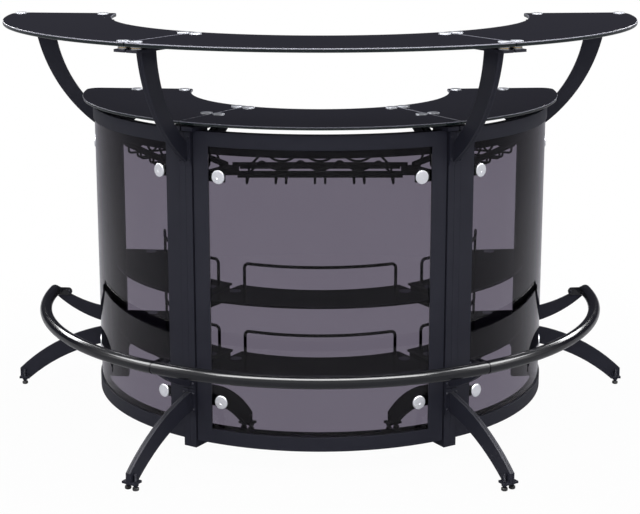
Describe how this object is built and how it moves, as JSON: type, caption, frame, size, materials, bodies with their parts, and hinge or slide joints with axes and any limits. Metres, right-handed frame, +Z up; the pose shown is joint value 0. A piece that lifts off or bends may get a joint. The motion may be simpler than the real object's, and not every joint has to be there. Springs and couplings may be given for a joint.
{
  "type": "home bar",
  "caption": "Curved home bar with raised glass counter on swept arms, lower glass work top, smoked front panels, shelves, stemware rack and tubular foot rail.",
  "frame": {"origin": "on the floor, under the middle of the bar's overall width and depth", "axes": "+Z up, -Y out of the front of the middle unit towards the guests, +X to the right seen from the guests' side"},
  "size_m": [1.7302, 0.9189, 1.067],
  "materials": {
    "black_glass": "polished black glass",
    "smoked_glass": "polished smoked sheet",
    "black_metal": "satin black powder coat",
    "gloss_black_metal": "gloss black paint",
    "satin_silver": "satin",
    "chrome": "polished",
    "brass": "plated",
    "foot_black": "matt black"
  },
  "bodies": {
    "bar": {"upper_top_left": "black_glass", "lower_top_left": "black_glass", "panel_frame_left": "black_metal", "smoked_panel_left": "smoked_glass", "upper_shelf_left": "black_glass", "lower_shelf_left": "black_glass", "gallery_rails_left": "black_metal", "glass_rack_left": "black_metal", "foot_rail_left": "gloss_black_metal", "upper_top_front": "black_glass", "lower_top_front": "black_glass", "panel_frame_front": "black_metal", "smoked_panel_front": "smoked_glass", "upper_shelf_front": "black_glass", "lower_shelf_front": "black_glass", "gallery_rails_front": "black_metal", "glass_rack_front": "black_metal", "foot_rail_front": "gloss_black_metal", "upper_top_right": "black_glass", "lower_top_right": "black_glass", "panel_frame_right": "black_metal", "smoked_panel_right": "smoked_glass", "upper_shelf_right": "black_glass", "lower_shelf_right": "black_glass", "gallery_rails_right": "black_metal", "glass_rack_right": "black_metal", "foot_rail_right": "gloss_black_metal", "side_frame_left_end": "black_metal", "arm_left_end": "black_metal", "side_frame_left_seam": "black_metal", "arm_left_seam": "black_metal", "side_frame_front_left": "black_metal", "arm_front_left": "black_metal", "side_frame_front_right": "black_metal", "arm_front_right": "black_metal", "side_frame_right_seam": "black_metal", "arm_right_seam": "black_metal", "side_frame_right_end": "black_metal", "arm_right_end": "black_metal", "outer_legs": "black_metal", "inner_legs": "black_metal", "rail_brackets": "black_metal", "foot_lock_nuts": "brass", "top_caps": "satin_silver", "top_standoffs": "chrome", "panel_caps": "satin_silver", "flange_bolts": "black_metal", "rail_joiners": "gloss_black_metal"},
    "foot_left_end_outer": {"foot_left_end_outer": "foot_black"},
    "foot_left_end_inner": {"foot_left_end_inner": "foot_black"},
    "foot_left_seam_outer": {"foot_left_seam_outer": "foot_black"},
    "foot_left_seam_inner": {"foot_left_seam_inner": "foot_black"},
    "foot_front_left_outer": {"foot_front_left_outer": "foot_black"},
    "foot_front_left_inner": {"foot_front_left_inner": "foot_black"},
    "foot_front_right_outer": {"foot_front_right_outer": "foot_black"},
    "foot_front_right_inner": {"foot_front_right_inner": "foot_black"},
    "foot_right_seam_outer": {"foot_right_seam_outer": "foot_black"},
    "foot_right_seam_inner": {"foot_right_seam_inner": "foot_black"},
    "foot_right_end_outer": {"foot_right_end_outer": "foot_black"},
    "foot_right_end_inner": {"foot_right_end_inner": "foot_black"}
  },
  "joints": [
    {"name": "level_left_end_outer", "type": "slide", "parent": "bar", "child": "foot_left_end_outer", "axis": [0, 0, -1], "range_m": [0, 0.012]},
    {"name": "level_left_end_inner", "type": "slide", "parent": "bar", "child": "foot_left_end_inner", "axis": [0, 0, -1], "range_m": [0, 0.012]},
    {"name": "level_left_seam_outer", "type": "slide", "parent": "bar", "child": "foot_left_seam_outer", "axis": [0, 0, -1], "range_m": [0, 0.012]},
    {"name": "level_left_seam_inner", "type": "slide", "parent": "bar", "child": "foot_left_seam_inner", "axis": [0, 0, -1], "range_m": [0, 0.012]},
    {"name": "level_front_left_outer", "type": "slide", "parent": "bar", "child": "foot_front_left_outer", "axis": [0, 0, -1], "range_m": [0, 0.012]},
    {"name": "level_front_left_inner", "type": "slide", "parent": "bar", "child": "foot_front_left_inner", "axis": [0, 0, -1], "range_m": [0, 0.012]},
    {"name": "level_front_right_outer", "type": "slide", "parent": "bar", "child": "foot_front_right_outer", "axis": [0, 0, -1], "range_m": [0, 0.012]},
    {"name": "level_front_right_inner", "type": "slide", "parent": "bar", "child": "foot_front_right_inner", "axis": [0, 0, -1], "range_m": [0, 0.012]},
    {"name": "level_right_seam_outer", "type": "slide", "parent": "bar", "child": "foot_right_seam_outer", "axis": [0, 0, -1], "range_m": [0, 0.012]},
    {"name": "level_right_seam_inner", "type": "slide", "parent": "bar", "child": "foot_right_seam_inner", "axis": [0, 0, -1], "range_m": [0, 0.012]},
    {"name": "level_right_end_outer", "type": "slide", "parent": "bar", "child": "foot_right_end_outer", "axis": [0, 0, -1], "range_m": [0, 0.012]},
    {"name": "level_right_end_inner", "type": "slide", "parent": "bar", "child": "foot_right_end_inner", "axis": [0, 0, -1], "range_m": [0, 0.012]}
  ]
}
